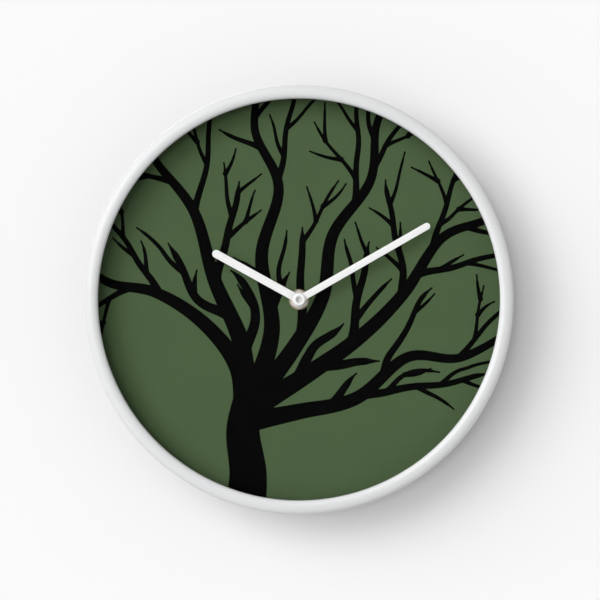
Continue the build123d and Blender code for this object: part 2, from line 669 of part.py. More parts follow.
with BuildPart() as second_wheel:
    with BuildSketch(deep(9.8)):                        # 60 teeth
        with BuildLine():
            Polyline(*tooth_ring(C, 60, M_CF, -0.45, PH_SECOND60), close=True)
        make_face()
    extrude(amount=0.8)
    with BuildSketch(deep(9.1)):
        Circle(1.3)
    extrude(amount=1.0)
    with BuildSketch(deep(8.1)):                        # 8 leaves
        with BuildLine():
            Polyline(*tooth_ring(C, 8, M_TS, 0.5, PH_SECOND8), close=True)
        make_face()
    extrude(amount=1.2)
    with BuildSketch(deep(9.8)):
        Circle(0.51)
    extrude(amount=2.9, mode=Mode.SUBTRACT)
second_wheel.part.label = "second_wheel"
export_step(second_wheel.part, "parts/second_wheel.step")

with BuildPart() as second_arbor:
    with BuildSketch(deep(13.0)):
        Circle(ARBOR)
    extrude(amount=34.9 - (MOVE_F - 13.0))
second_arbor.part.label = "second_arbor"
export_step(second_arbor.part, "parts/second_arbor.step")

with BuildPart() as intermediate_wheel:
    with BuildSketch(deep(11.4)):                       # 60 teeth
        with BuildLine():
            Polyline(*tooth_ring(F, 60, M_FR, -0.35, PH_INTER60), close=True)
        make_face()
    extrude(amount=0.8)
    with BuildSketch(deep(10.7)):
        with Locations(F):
            Circle(1.2)
    extrude(amount=0.8)
    with BuildSketch(deep(10.0)):                       # 10 leaves
        with BuildLine():
            Polyline(*tooth_ring(F, 10, M_CF, 0.45, PH_INTER10), close=True)
        make_face()
    extrude(amount=1.2)
    with BuildSketch(deep(13.0)):
        with Locations(F):
            Circle(ARBOR)
    extrude(amount=12.05)
intermediate_wheel.part.label = "intermediate_wheel"
export_step(intermediate_wheel.part, "parts/intermediate_wheel.step")

with BuildPart() as rotor_pinion:
    with BuildSketch(deep(11.7)):                       # 12 leaves
        with BuildLine():
            Polyline(*tooth_ring(R, 12, M_FR, 0.35, PH_ROTOR12), close=True)
        make_face()
    extrude(amount=1.3)
    with BuildSketch(deep(10.5)):
        with Locations(R):
            Circle(0.8)
    extrude(amount=3.8)
    with BuildSketch(deep(13.0)):
        with Locations(R):
            Circle(ARBOR)
    extrude(amount=12.05)
rotor_pinion.part.label = "rotor_pinion"
export_step(rotor_pinion.part, "parts/rotor_pinion.step")

with BuildPart() as rotor_magnet:
    with BuildSketch(deep(10.0)):
        with Locations(R):
            Circle(2.6)
            Circle(0.82, mode=Mode.SUBTRACT)
    extrude(amount=2.8)
rotor_magnet.part.label = "rotor_magnet"
export_step(rotor_magnet.part, "parts/rotor_magnet.step")

# ================================================================== stepping motor and electronics
with BuildPart() as stator:
    with BuildSketch(deep(9.2)):
        with Locations(R):
            Circle(4.9)
        with Locations((-21.0, 5.09)):
            Rectangle(9.0, 5.0)
        with Locations((-24.05, 13.5)):
            Rectangle(2.9, 21.8)
        with Locations((-8.7, 9.9)):
            Rectangle(8.4, 2.6)
        with Locations((-12.0, 8.6)):
            Rectangle(4.0, 4.0)
        with Locations((-5.95, 16.5)):
            Rectangle(2.9, 15.8)
        with Locations(R):
            Circle(3.2, mode=Mode.SUBTRACT)
    extrude(amount=1.0)
stator.part.label = "stator"
export_step(stator.part, "parts/stator.step")

with BuildPart() as coil_core:
    with BuildSketch(deep(8.2)):
        with Locations((-15.0, 22.9)):
            Rectangle(21.0, 3.0)
    extrude(amount=1.0)
coil_core.part.label = "coil_core"
export_step(coil_core.part, "parts/coil_core.step")

COIL = Plane(origin=(-15.0, -(MOVE_F - 7.7), 22.9), x_dir=(0, 0, 1), z_dir=(1, 0, 0))
with BuildPart() as coil_bobbin:
    for x in (-7.3, 6.5):
        with BuildSketch(COIL.offset(x)):
            RectangleRounded(6.9, 6.9, 0.8)
            Rectangle(3.04, 1.04, mode=Mode.SUBTRACT)
        extrude(amount=0.8)
    with BuildSketch(COIL.offset(-6.5)):
        RectangleRounded(3.9, 1.9, 0.3)
        Rectangle(3.04, 1.04, mode=Mode.SUBTRACT)
    extrude(amount=13.0)
coil_bobbin.part.label = "coil_bobbin"
export_step(coil_bobbin.part, "parts/coil_bobbin.step")

with BuildPart() as coil_winding:
    with BuildSketch(COIL.offset(-6.48)):
        RectangleRounded(6.3, 5.6, 1.9)
        RectangleRounded(3.94, 1.94, 0.3, mode=Mode.SUBTRACT)
    extrude(amount=12.96)
coil_winding.part.label = "coil_winding"
export_step(coil_winding.part, "parts/coil_winding.step")

with BuildPart() as circuit_board:
    with BuildSketch(deep(PCB_D1)):
        with Locations((15.7, 19.4)):
            Rectangle(21.4, 13.8)
        with Locations(*[c for c, r in PCB_POSTS]):
            Circle(0.53, mode=Mode.SUBTRACT)
    extrude(amount=PCB_D1 - PCB_D0)
circuit_board.part.label = "circuit_board"
export_step(circuit_board.part, "parts/circuit_board.step")

BLOB_R = (3.0 ** 2 + 1.2 ** 2) / 2.4                     # sphere of the resin cap over the chip
with BuildPart() as chip_cover:
    with BuildSketch(Plane(origin=(13.0, -(MOVE_F - PCB_D1), 18.5), x_dir=(1, 0, 0), z_dir=(0, 0, 1))):
        with BuildLine():
            Polyline((0, 1.2), (0, 0), (3.0, 0))
            ThreePointArc((3.0, 0), (1.6, 1.2 - BLOB_R + math.sqrt(BLOB_R ** 2 - 1.6 ** 2)), (0, 1.2))
        make_face()
    revolve(axis=Axis((13.0, 0, 18.5), (0, 1, 0)))
chip_cover.part.label = "chip_cover"
export_step(chip_cover.part, "parts/chip_cover.step")

with BuildPart() as quartz_crystal:
    with BuildSketch(Plane.YZ.offset(16.5)):
        with Locations((-(MOVE_F - PCB_D1 - 1.05), 23.6)):
            Circle(1.0)
    extrude(amount=6.0)
    for z in (23.2, 24.0):                              # its two leads down to the board
        with BuildSketch(Plane.YZ.offset(15.3)):
            with Locations((-(MOVE_F - PCB_D1 - 0.15), z)):
                Rectangle(0.3, 0.24)
        extrude(amount=1.3)
quartz_crystal.part.label = "quartz_crystal"
export_step(quartz_crystal.part, "parts/quartz_crystal.step")

# The winding's two fine leads, from the bobbin's flange to the board.
with BuildPart() as coil_leads:
    for z0, z1, x1 in ((21.4, 20.6, 5.9), (24.6, 22.2, 5.9)):
        y0, y1 = -(MOVE_F - 10.0), -(MOVE_F - PCB_D0 + 0.15)
        with BuildLine():
            lead = FilletPolyline((-7.7, y0, z0), (-4.5, y0, z0), (0.5, y1, z1), (x1, y1, z1), radius=1.2)
        with BuildSketch(Plane(origin=lead @ 0, z_dir=lead % 0)):
            Circle(0.15)
        sweep(path=lead)
coil_leads.part.label = "coil_leads"
export_step(coil_leads.part, "parts/coil_leads.step")


def box(x0, x1, z0, z1, d0, d1):
    """A block between two X, two Z and two depths, added to the part in hand."""
    with Locations(((x0 + x1) / 2, (d0 + d1) / 2 - MOVE_F, (z0 + z1) / 2)):
        Box(x1 - x0, d1 - d0, z1 - z0)


with BuildPart() as contact_positive:
    box(26.0, 26.4, -25.0, -13.0, 4.0, 14.0)
    box(26.0, 26.4, -13.5, 14.0, 5.0, 8.0)
    box(26.0, 26.4, 12.6, 14.0, 5.0, PCB_D0)
contact_positive.part.label = "contact_positive"
export_step(contact_positive.part, "parts/contact_positive.step")

BAT_Z, BAT_F = (BAY_TOP + BAY_BOTTOM) / 2, 11.4
with BuildPart() as contact_negative:
    box(-26.4, -26.0, -25.0, -13.0, 4.0, 14.0)
    box(-26.4, -26.0, -14.0, -10.6, 13.0, 15.2)
    box(-26.4, 24.4, -11.0, -10.6, 13.6, 15.2)
    box(24.0, 24.4, -11.0, 14.0, 13.6, 15.2)
    box(24.0, 24.4, 12.6, 14.0, PCB_D1, 15.2)
    with BuildSketch(Plane.XY.offset(-23.0)):           # bowed leaf that presses on the cell
        with BuildLine():
            leaf = [(-26.0, 5.0), (-24.4, 7.6), (-24.4, 10.6), (-26.0, 13.4), (-26.0, 12.7), (-24.75, 10.5), (-24.75, 7.7), (-26.0, 5.7)]
            Polyline(*[(x, -(MOVE_F - d)) for x, d in leaf], close=True)
        make_face()
    extrude(amount=6.7)
contact_negative.part.label = "contact_negative"
export_step(contact_negative.part, "parts/contact_negative.step")

# Battery: one AA cell with its printed sleeve.
CELL = Plane(origin=(0, -BAT_F, BAT_Z), x_dir=(0, 1, 0), z_dir=(1, 0, 0))
with BuildPart() as battery_cell:
    with BuildSketch(CELL.offset(-24.4)):
        Circle(6.98)
    extrude(amount=49.2)
    fillet(battery_cell.edges(), 0.5)
    with BuildSketch(CELL.offset(24.7)):
        Circle(2.75)
    extrude(amount=1.3)
battery_cell.part.label = "battery_cell"
export_step(battery_cell.part, "parts/battery_cell.step")

with BuildPart() as battery_sleeve:
    with BuildSketch(CELL.offset(-23.8)):
        Circle(7.1)
        Circle(6.99, mode=Mode.SUBTRACT)
    extrude(amount=48.0)
battery_sleeve.part.label = "battery_sleeve"
export_step(battery_sleeve.part, "parts/battery_sleeve.step")
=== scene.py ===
import math
import random

import bpy
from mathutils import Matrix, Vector
from mathutils.geometry import delaunay_2d_cdt


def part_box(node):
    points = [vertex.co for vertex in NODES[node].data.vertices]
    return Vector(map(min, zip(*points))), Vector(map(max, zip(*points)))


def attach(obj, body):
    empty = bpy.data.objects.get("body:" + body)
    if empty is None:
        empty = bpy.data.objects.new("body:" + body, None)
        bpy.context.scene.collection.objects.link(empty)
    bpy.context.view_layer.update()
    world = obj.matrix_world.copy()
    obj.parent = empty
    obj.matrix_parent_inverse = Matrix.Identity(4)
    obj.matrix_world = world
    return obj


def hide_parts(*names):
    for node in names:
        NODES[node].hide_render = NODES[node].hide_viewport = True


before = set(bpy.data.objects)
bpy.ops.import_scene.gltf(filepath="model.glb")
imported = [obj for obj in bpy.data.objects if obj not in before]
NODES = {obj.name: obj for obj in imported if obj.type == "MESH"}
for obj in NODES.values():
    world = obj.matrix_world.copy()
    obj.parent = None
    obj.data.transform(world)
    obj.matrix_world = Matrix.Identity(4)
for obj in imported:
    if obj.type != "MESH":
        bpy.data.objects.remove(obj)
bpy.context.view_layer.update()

SCENE = bpy.context.scene
SCENE.view_settings.view_transform = "Standard"
SCENE.view_settings.look = "None"
MM = 0.001


# ------------------------------------------------------------------ camera
# Square on to the dial. The frame is 600 by 600 and the rim is 214.8 pixels in radius, centred at (299, 299.5).
LENS, SENSOR = 135.0, 36.0
RIM_F = 41.0 * MM                                   # the rim is widest this far in front of the wall
HALF = 0.125 * 300 / 214.8                          # half the frame's width at that distance
CAM_D = HALF / (SENSOR / 2 / LENS) + RIM_F
cam_data = bpy.data.cameras.new("camera")
cam_data.lens, cam_data.sensor_width = LENS, SENSOR
cam_data.clip_start, cam_data.clip_end = 0.05, 50
cam_data.dof.use_dof = False
cam = bpy.data.objects.new("camera", cam_data)
SCENE.collection.objects.link(cam)
px = HALF / 300                                     # metres to a pixel at the rim
cam.location = (1.0 * px, -CAM_D, -0.5 * px)
cam.rotation_euler = (math.radians(90), 0, 0)
SCENE.camera = cam


# ------------------------------------------------------------------ shader helpers
def srgb(*v):
    return tuple(((c / 255) / 12.92 if c / 255 <= 0.04045 else ((c / 255 + 0.055) / 1.055) ** 2.4) for c in v)


def shader(name):
    m = bpy.data.materials.new(name)
    m.use_nodes = True
    nt = m.node_tree
    nt.nodes.clear()
    out = nt.nodes.new("ShaderNodeOutputMaterial")
    b = nt.nodes.new("ShaderNodeBsdfPrincipled")
    nt.links.new(b.outputs[0], out.inputs[0])
    return m, nt, b, out


def noise(nt, size, detail=3.0, rough=0.55, stretch=(1, 1, 1), coord=None):
    """Noise whose features are about size metres across, in the piece's own coordinates."""
    if coord is None:
        tc = nt.nodes.new("ShaderNodeTexCoord")
        coord = tc.outputs["Object"]
    mp = nt.nodes.new("ShaderNodeMapping")
    mp.inputs["Scale"].default_value = stretch
    nt.links.new(coord, mp.inputs["Vector"])
    n = nt.nodes.new("ShaderNodeTexNoise")
    n.inputs["Scale"].default_value = 1.0 / size
    n.inputs["Detail"].default_value = detail
    n.inputs["Roughness"].default_value = rough
    nt.links.new(mp.outputs[0], n.inputs["Vector"])
    return n.outputs["Fac"]


def remap(nt, fac, lo, hi, a=0.3, b=0.7):
    r = nt.nodes.new("ShaderNodeMapRange")
    r.inputs["From Min"].default_value, r.inputs["From Max"].default_value = a, b
    r.inputs["To Min"].default_value, r.inputs["To Max"].default_value = lo, hi
    nt.links.new(fac, r.inputs["Value"])
    return r.outputs[0]


def two(nt, fac, ca, cb):
    x = nt.nodes.new("ShaderNodeMix")
    x.data_type = "RGBA"
    if hasattr(fac, "is_linked") or not isinstance(fac, (int, float)):
        nt.links.new(fac, x.inputs["Factor"])
    else:
        x.inputs["Factor"].default_value = fac
    for s, c in (("A", ca), ("B", cb)):
        sock = [i for i in x.inputs if i.name == s and i.type == "RGBA"][0]
        if isinstance(c, tuple):
            sock.default_value = (*c[:3], 1)
        else:
            nt.links.new(c, sock)
    return [o for o in x.outputs if o.type == "RGBA"][0]


def bump(nt, height, strength, distance, normal=None):
    b = nt.nodes.new("ShaderNodeBump")
    b.inputs["Strength"].default_value = strength
    b.inputs["Distance"].default_value = distance
    nt.links.new(height, b.inputs["Height"])
    if normal is not None:
        nt.links.new(normal, b.inputs["Normal"])
    return b.outputs[0]


def solid(name, colour, rough, metal=0.0, spec=0.5, vary=0.06, vary_size=0.02, rough_vary=0.05, grain=0.0, grain_size=0.0006,
          grain_depth=0.00003, mottle=0.0, mottle_size=0.006, stretch=(1, 1, 1), coat=0.0, coat_rough=0.1, ior=1.5, aniso=0.0):
    """A procedural surface: drifting colour, uneven polish, and a fine moulded, brushed or cast grain."""
    m, nt, p, out = shader(name)
    dark = tuple(c * (1 - vary) for c in colour)
    light = tuple(min(1.0, c * (1 + vary)) for c in colour)
    base = two(nt, remap(nt, noise(nt, vary_size, 4), 0, 1), dark, light)
    if mottle:
        base = two(nt, remap(nt, noise(nt, mottle_size, 5, 0.6, stretch), 0, mottle, 0.45, 0.75), base, tuple(c * 0.55 for c in colour))
    nt.links.new(base, p.inputs["Base Color"])
    nt.links.new(remap(nt, noise(nt, vary_size * 0.35, 5, 0.6, stretch), max(0.02, rough - rough_vary), min(1, rough + rough_vary)), p.inputs["Roughness"])
    p.inputs["Metallic"].default_value = metal
    p.inputs["Specular IOR Level"].default_value = spec
    p.inputs["IOR"].default_value = ior
    p.inputs["Anisotropic"].default_value = aniso
    p.inputs["Coat Weight"].default_value = coat
    p.inputs["Coat Roughness"].default_value = coat_rough
    if grain:
        nt.links.new(bump(nt, noise(nt, grain_size, 2, 0.5, stretch), grain, grain_depth), p.inputs["Normal"])
    return m


def turned(name, colour, rough, metal, centre, pitch=0.00022, strength=0.25, spec=0.5, vary=0.05):
    """Metal or plastic with the fine rings that turning or spinning leaves round an axis along Y."""
    m, nt, p, out = shader(name)
    tc = nt.nodes.new("ShaderNodeTexCoord")
    sub = nt.nodes.new("ShaderNodeVectorMath")
    sub.operation = "SUBTRACT"
    sub.inputs[1].default_value = (centre[0], 0, centre[1])
    nt.links.new(tc.outputs["Object"], sub.inputs[0])
    flat = nt.nodes.new("ShaderNodeVectorMath")
    flat.operation = "MULTIPLY"
    flat.inputs[1].default_value = (1, 0, 1)
    nt.links.new(sub.outputs[0], flat.inputs[0])
    ln = nt.nodes.new("ShaderNodeVectorMath")
    ln.operation = "LENGTH"
    nt.links.new(flat.outputs[0], ln.inputs[0])
    comb = nt.nodes.new("ShaderNodeCombineXYZ")
    nt.links.new(ln.outputs["Value"], comb.inputs[0])
    rings = noise(nt, pitch, 2, 0.5, coord=comb.outputs[0])
    dark = tuple(c * (1 - vary) for c in colour)
    light = tuple(min(1.0, c * (1 + vary)) for c in colour)
    base = two(nt, remap(nt, noise(nt, 0.004, 4), 0, 1), dark, light)
    nt.links.new(base, p.inputs["Base Color"])
    nt.links.new(remap(nt, rings, max(0.03, rough - 0.06), rough + 0.08), p.inputs["Roughness"])
    p.inputs["Metallic"].default_value = metal
    p.inputs["Specular IOR Level"].default_value = spec
    nt.links.new(bump(nt, rings, strength, 0.00001), p.inputs["Normal"])
    return m


def dress(node, mat):
    o = NODES[node]
    o.data.materials.clear()
    o.data.materials.append(mat)
    for poly in o.data.polygons:
        poly.material_index = 0


# ------------------------------------------------------------------ mesh helpers
def piece(name, verts, faces, mats, which=None, smooth=True, sharp=32, body="housing", stands_for=()):
    me = bpy.data.meshes.new(name)
    me.from_pydata(verts, [], faces)
    for m in mats:
        me.materials.append(m)
    if which is not None:
        me.polygons.foreach_set("material_index", which)
    me.validate()
    me.update()
    o = bpy.data.objects.new(name, me)
    SCENE.collection.objects.link(o)
    if smooth:
        me.polygons.foreach_set("use_smooth", [True] * len(me.polygons))
        me.set_sharp_from_angle(angle=math.radians(sharp))
    if body:
        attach(o, body)
        if stands_for:
            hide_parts(*stands_for)
    return o


def lathe(profile, n, centre=(0, 0), wave=None):
    """A closed profile of (radius, distance in front of the wall) in millimetres, turned round an axis along Y.
    Points on the axis become one vertex."""
    verts, rows = [], []
    for r, f in profile:
        if r < 1e-6:
            verts.append((centre[0] * MM, -f * MM, centre[1] * MM))
            rows.append([len(verts) - 1] * n)
        else:
            row = []
            for i in range(n):
                a = 2 * math.pi * i / n
                q = r if wave is None else r + wave(a, r, f)
                verts.append(((centre[0] + q * math.cos(a)) * MM, -f * MM, (centre[1] + q * math.sin(a)) * MM))
                row.append(len(verts) - 1)
            rows.append(row)
    faces = []
    m = len(rows)
    on_axis = [r < 1e-6 for r, f in profile]
    for k in range(m):
        if on_axis[k] and on_axis[(k + 1) % m]:
            continue
        a, b = rows[k], rows[(k + 1) % m]
        for i in range(n):
            j = (i + 1) % n
            quad = [a[i], a[j], b[j], b[i]]
            face = [v for t, v in enumerate(quad) if v not in quad[:t]]
            if len(face) >= 3:
                faces.append(face)
    # outward normals: test the sign of the volume and turn all faces if needed
    vol = 0.0
    for f in faces:
        p0 = Vector(verts[f[0]])
        for t in range(1, len(f) - 1):
            vol += p0.dot(Vector(verts[f[t]]).cross(Vector(verts[f[t + 1]])))
    if vol < 0:
        faces = [f[::-1] for f in faces]
    return verts, faces


def oval(cx, cf, rx, rf, a0, a1, n):
    """Points on an ellipse in the (radius, f) plane, angles in degrees from the +radius direction towards +f."""
    return [(cx + rx * math.cos(math.radians(a0 + (a1 - a0) * k / n)), cf + rf * math.sin(math.radians(a0 + (a1 - a0) * k / n))) for k in range(n + 1)]


def bare_tree(seed=3):
    """A generic leafless tree. Returns its limbs as lists of (x, z, half width), in millimetres on the dial."""
    rnd = random.Random(seed)
    STEP = 1.6

    def spline(pts, w0, w1, power=0.8):
        p = [pts[0]] + pts + [pts[-1]]
        out = []
        for a, b, c, d in zip(p, p[1:], p[2:], p[3:]):
            n = max(2, int(math.dist(b, c) / STEP))
            for k in range(n):
                t = k / n
                q = [0.5 * (2 * b[i] + (c[i] - a[i]) * t + (2 * a[i] - 5 * b[i] + 4 * c[i] - d[i]) * t * t
                            + (3 * b[i] - a[i] - 3 * c[i] + d[i]) * t ** 3) for i in (0, 1)]
                out.append(q)
        out.append(list(pts[-1]))
        m = len(out) - 1
        return [(x, z, w0 + (w1 - w0) * (k / m) ** power) for k, (x, z) in enumerate(out)]

    limbs = [
        spline([(-33, -134), (-30, -104), (-33, -76), (-27, -50)], 12.5, 8.5, 1.0),
        spline([(-32, -70), (-36, -40), (-56, -14), (-84, 4), (-112, 10), (-134, 26)], 6.3, 1.9),
        spline([(-31, -62), (-34, -26), (-50, 12), (-62, 52), (-86, 84), (-96, 110)], 6.4, 1.7),
        spline([(-28, -58), (-16, -18), (-22, 26), (-12, 66), (-26, 100), (-22, 134)], 6.0, 1.8),
        spline([(-27, -60), (-4, -30), (14, 2), (20, 38), (42, 70), (46, 104), (60, 130)], 5.8, 1.8),
        spline([(-28, -64), (2, -46), (36, -22), (62, 4), (84, 36), (112, 48), (134, 66)], 6.2, 1.8),
        spline([(-30, -72), (0, -66), (34, -58), (64, -34), (96, -34), (132, -14)], 5.6, 1.8),
    ]
    grid = {}

    def mark(limb, k):
        for i, (x, z, w) in enumerate(limb):
            grid.setdefault((int(x // 8), int(z // 8)), []).append((x, z, w, k, i))

    def near(x, z, k_own, i_own, skip):
        """The gap to the nearest stroke, and the direction away from it."""
        best, away = 99.0, (0.0, 0.0)
        cx, cz = int(x // 8), int(z // 8)
        for a in range(cx - 2, cx + 3):
            for b in range(cz - 2, cz + 3):
                for (px, pz, w, k, i) in grid.get((a, b), ()):
                    if k == k_own and abs(i - i_own) < skip:
                        continue
                    d = math.hypot(x - px, z - pz)
                    if d - w < best:
                        best = d - w
                        away = ((x - px) / (d or 1), (z - pz) / (d or 1))
        return best, away

    for k, limb in enumerate(limbs):
        mark(limb, k)
    todo = []

    def buds(k, gap, first, side):
        limb = limbs[k]
        s, nxt = 0.0, first
        for i in range(1, len(limb) - 3):
            s += math.dist(limb[i][:2], limb[i - 1][:2])
            if s >= nxt:
                todo.append((k, i, side))
                side = -side
                nxt += gap * rnd.uniform(0.8, 1.25)

    for k in range(1, len(limbs)):
        buds(k, 20.0, 30.0, 1 if k % 2 else -1)
    for level in range(3):
        batch, todo[:] = list(todo), []
        rnd.shuffle(batch)
        made = []
        for k, i, side in batch:
            limb = limbs[k]
            x, z, w = limb[i]
            if math.hypot(x, z) > 124:
                continue
            hx, hz = limb[i + 1][0] - limb[i - 1][0], limb[i + 1][1] - limb[i - 1][1]
            a = math.atan2(hz, hx) + side * math.radians(rnd.uniform(30, 46))
            w0 = max(1.15, w * (0.66, 0.72, 0.78)[level])
            length = (70.0, 36.0, 20.0)[level] * rnd.uniform(0.75, 1.15)
            turn = -side * math.radians(rnd.uniform(0.3, 1.3))
            wave, wl = math.radians(rnd.uniform(1.0, 2.1)) * rnd.choice((-1, 1)), rnd.uniform(26, 44)
            pts, s = [(x, z, w0)], 0.0
            ok_from = w + 3.0
            while s < length:
                s += STEP
                a += turn * (0.4 if s > 14 else 1.0) + wave * math.sin(s / wl * 2 * math.pi)
                nx, nz = pts[-1][0] + STEP * math.cos(a), pts[-1][1] + STEP * math.sin(a)
                if math.hypot(nx, nz) > 130:
                    break
                g, away = near(nx, nz, k, i, int((w + s + 9) / STEP) if s < 16 else 0)
                if s > ok_from:
                    if g < 3.8:
                        break
                    if g < 8.0:
                        push = (8.0 - g) / 8.0 * 0.16
                        a += push * math.sin(math.atan2(away[1], away[0]) - a)
                if nz < -88 + 0.25 * abs(nx):
                    break
                pts.append((nx, nz, w0))
            if len(pts) * STEP < (19, 15, 13)[level]:
                continue
            m = len(pts) - 1
            pts = [(px, pz, max(0.55, w0 * (1 - 0.40 * (j / m) ** 0.9) * (1 + 0.45 * math.exp(-j * STEP / 3.2))
                                * min(1.0, 0.15 + ((m - j) * STEP) / (3.5 + 1.9 * w0)))) for j, (px, pz, _) in enumerate(pts)]
            limbs.append(pts)
            mark(pts, len(limbs) - 1)
            made.append(len(limbs) - 1)
        for k in made:
            buds(k, (14.0, 12.0, 12.0)[level], 13.0, rnd.choice((-1, 1)))
    # the main limbs end in points too
    for k in range(1, 7):
        m = len(limbs[k]) - 1
        limbs[k] = [(x, z, w * (1 + 0.30 * math.exp(-j * STEP / 12.0)) * min(1.0, 0.1 + (m - j) * STEP / 12.0)) for j, (x, z, w) in enumerate(limbs[k])]
    return limbs

# ------------------------------------------------------------------ materials
WHITE_RIM = solid("gloss_white_moulding", (0.632, 0.637, 0.641), 0.34, spec=0.42, vary=0.012, vary_size=0.05, rough_vary=0.05,
                  grain=0.10, grain_size=0.0016, grain_depth=0.00002)
BLACK_RING = solid("matt_black_spacer", (0.012, 0.012, 0.013), 0.6, spec=0.3, vary=0.15, vary_size=0.01, grain=0.25, grain_size=0.0004)
BOARD = solid("fibreboard", (0.30, 0.20, 0.12), 0.85, spec=0.2, vary=0.18, vary_size=0.003, mottle=0.5, mottle_size=0.0012,
              stretch=(1, 1, 2.5), grain=0.5, grain_size=0.0008)
COVER = solid("grained_cover", (0.62, 0.62, 0.60), 0.5, spec=0.38, vary=0.03, vary_size=0.03, rough_vary=0.06, grain=0.55,
              grain_size=0.0007, grain_depth=0.00006)
ZINC = solid("zinc_plate", (0.62, 0.61, 0.57), 0.32, metal=1.0, vary=0.12, vary_size=0.0015, rough_vary=0.1, grain=0.15, grain_size=0.0002)
BRASS = turned("turned_brass", (0.70, 0.60, 0.40), 0.40, 1.0, (0, 0), vary=0.08)
# the washer's brass is darkened to about half its colour: painted shade, for the washer lying in the shadow under the
# nut and hands
BRASS_IN_PAINTED_SHADE = turned("brass_darkened_for_shade", (0.40, 0.355, 0.25), 0.42, 1.0, (0, 0), vary=0.10)
SATIN = turned("satin_nickel", (0.80, 0.735, 0.715), 0.46, 1.0, (0, 0), vary=0.03, strength=0.12)
RUBBER = solid("rubber", (0.018, 0.018, 0.018), 0.75, spec=0.25, vary=0.2, vary_size=0.002, grain=0.3, grain_size=0.0003)
HAND = solid("white_hand_paint", (0.902, 0.902, 0.897), 0.36, spec=0.45, vary=0.012, vary_size=0.01, rough_vary=0.04, grain=0.06,
             grain_size=0.0005, grain_depth=0.00001)
CAP = solid("white_cap", (0.95, 0.95, 0.945), 0.22, spec=0.6, vary=0.01, vary_size=0.002, rough_vary=0.04, coat=1.0, coat_rough=0.12)
# grey metal for the dished middle of the cap: painted reflection, the darker room in front as a polished dome mirrors
# it
CAP_CENTRE_REFLECTION = turned("cap_centre_painted_reflection", (0.66, 0.665, 0.655), 0.34, 1.0, (0, 0), pitch=0.00012, strength=0.10, vary=0.02)
CASE = solid("movement_black", (0.014, 0.014, 0.015), 0.42, spec=0.42, vary=0.12, vary_size=0.008, rough_vary=0.08, grain=0.4,
             grain_size=0.0005, grain_depth=0.00004)
LID = solid("lid_black", (0.018, 0.018, 0.019), 0.5, spec=0.4, vary=0.12, vary_size=0.008, rough_vary=0.07, grain=0.6,
            grain_size=0.0006, grain_depth=0.00005)
ACETAL = solid("acetal_white", (0.80, 0.79, 0.74), 0.42, spec=0.45, vary=0.02, vary_size=0.003, rough_vary=0.05, grain=0.1, grain_size=0.0002)
ACETAL_BLACK = solid("acetal_black", (0.02, 0.02, 0.021), 0.38, spec=0.45, vary=0.1, vary_size=0.003, rough_vary=0.06, grain=0.2, grain_size=0.0003)
SPRING = solid("spring_steel", (0.56, 0.56, 0.57), 0.3, metal=1.0, vary=0.06, vary_size=0.002, stretch=(1, 1, 6), grain=0.2, grain_size=0.0002)
FERRITE = solid("ferrite", (0.07, 0.07, 0.075), 0.5, metal=0.4, vary=0.2, vary_size=0.0008, grain=0.4, grain_size=0.0002)
STATOR = solid("stator_steel", (0.42, 0.42, 0.43), 0.42, metal=1.0, vary=0.08, vary_size=0.003, stretch=(5, 1, 1), grain=0.25, grain_size=0.0003)
BOBBIN = solid("bobbin_nylon", (0.74, 0.70, 0.58), 0.48, spec=0.4, vary=0.03, vary_size=0.003, grain=0.15, grain_size=0.0003)
LAMINATE = solid("phenolic_board", (0.30, 0.19, 0.075), 0.55, spec=0.35, vary=0.1, vary_size=0.002, mottle=0.25, mottle_size=0.0008, grain=0.2, grain_size=0.0003)
RESIN = solid("resin_drop", (0.006, 0.006, 0.006), 0.14, spec=0.5, vary=0.2, vary_size=0.002)
CRYSTAL = solid("crystal_can", (0.78, 0.78, 0.76), 0.2, metal=1.0, vary=0.05, vary_size=0.001)
CONTACT = solid("nickel_strip", (0.64, 0.62, 0.57), 0.3, metal=1.0, vary=0.1, vary_size=0.003, mottle=0.15, mottle_size=0.001, stretch=(1, 1, 5), grain=0.2, grain_size=0.0003)
CELL = solid("cell_can", (0.68, 0.68, 0.67), 0.26, metal=1.0, vary=0.06, vary_size=0.003, stretch=(6, 1, 1), grain=0.12, grain_size=0.0003)


def winding():
    """Fine lacquered copper wire, wound side by side along the bobbin."""
    m, nt, p, out = shader("copper_winding")
    tc = nt.nodes.new("ShaderNodeTexCoord")
    w = nt.nodes.new("ShaderNodeTexWave")
    w.wave_type, w.bands_direction, w.wave_profile = "BANDS", "X", "SIN"
    w.inputs["Scale"].default_value = 1 / 0.00035
    w.inputs["Distortion"].default_value = 0.6
    w.inputs["Detail"].default_value = 1.0
    nt.links.new(tc.outputs["Object"], w.inputs["Vector"])
    # the wire's colour goes darker in the grooves between turns and lighter on their crowns, on the same bands as the
    # bump: painted shade and painted highlight
    nt.links.new(two(nt, w.outputs["Fac"], (0.30, 0.08, 0.02), (0.78, 0.33, 0.13)), p.inputs["Base Color"])
    p.inputs["Metallic"].default_value = 0.85
    nt.links.new(remap(nt, noise(nt, 0.0006), 0.28, 0.42), p.inputs["Roughness"])
    nt.links.new(bump(nt, w.outputs["Fac"], 0.6, 0.00008), p.inputs["Normal"])
    return m


def sleeve():
    """A plain printed film: grey body with a lighter band at the positive end."""
    m, nt, p, out = shader("cell_sleeve")
    tc = nt.nodes.new("ShaderNodeTexCoord")
    sep = nt.nodes.new("ShaderNodeSeparateXYZ")
    nt.links.new(tc.outputs["Object"], sep.inputs[0])
    band = remap(nt, sep.outputs["X"], 0, 1, 0.0139, 0.0141)
    body = two(nt, remap(nt, noise(nt, 0.004), 0, 1), (0.030, 0.048, 0.075), (0.036, 0.056, 0.086))
    nt.links.new(two(nt, band, body, (0.60, 0.61, 0.62)), p.inputs["Base Color"])
    nt.links.new(remap(nt, noise(nt, 0.002), 0.18, 0.26), p.inputs["Roughness"])
    p.inputs["Specular IOR Level"].default_value = 0.5
    p.inputs["Coat Weight"].default_value = 0.4
    p.inputs["Coat Roughness"].default_value = 0.08
    return m


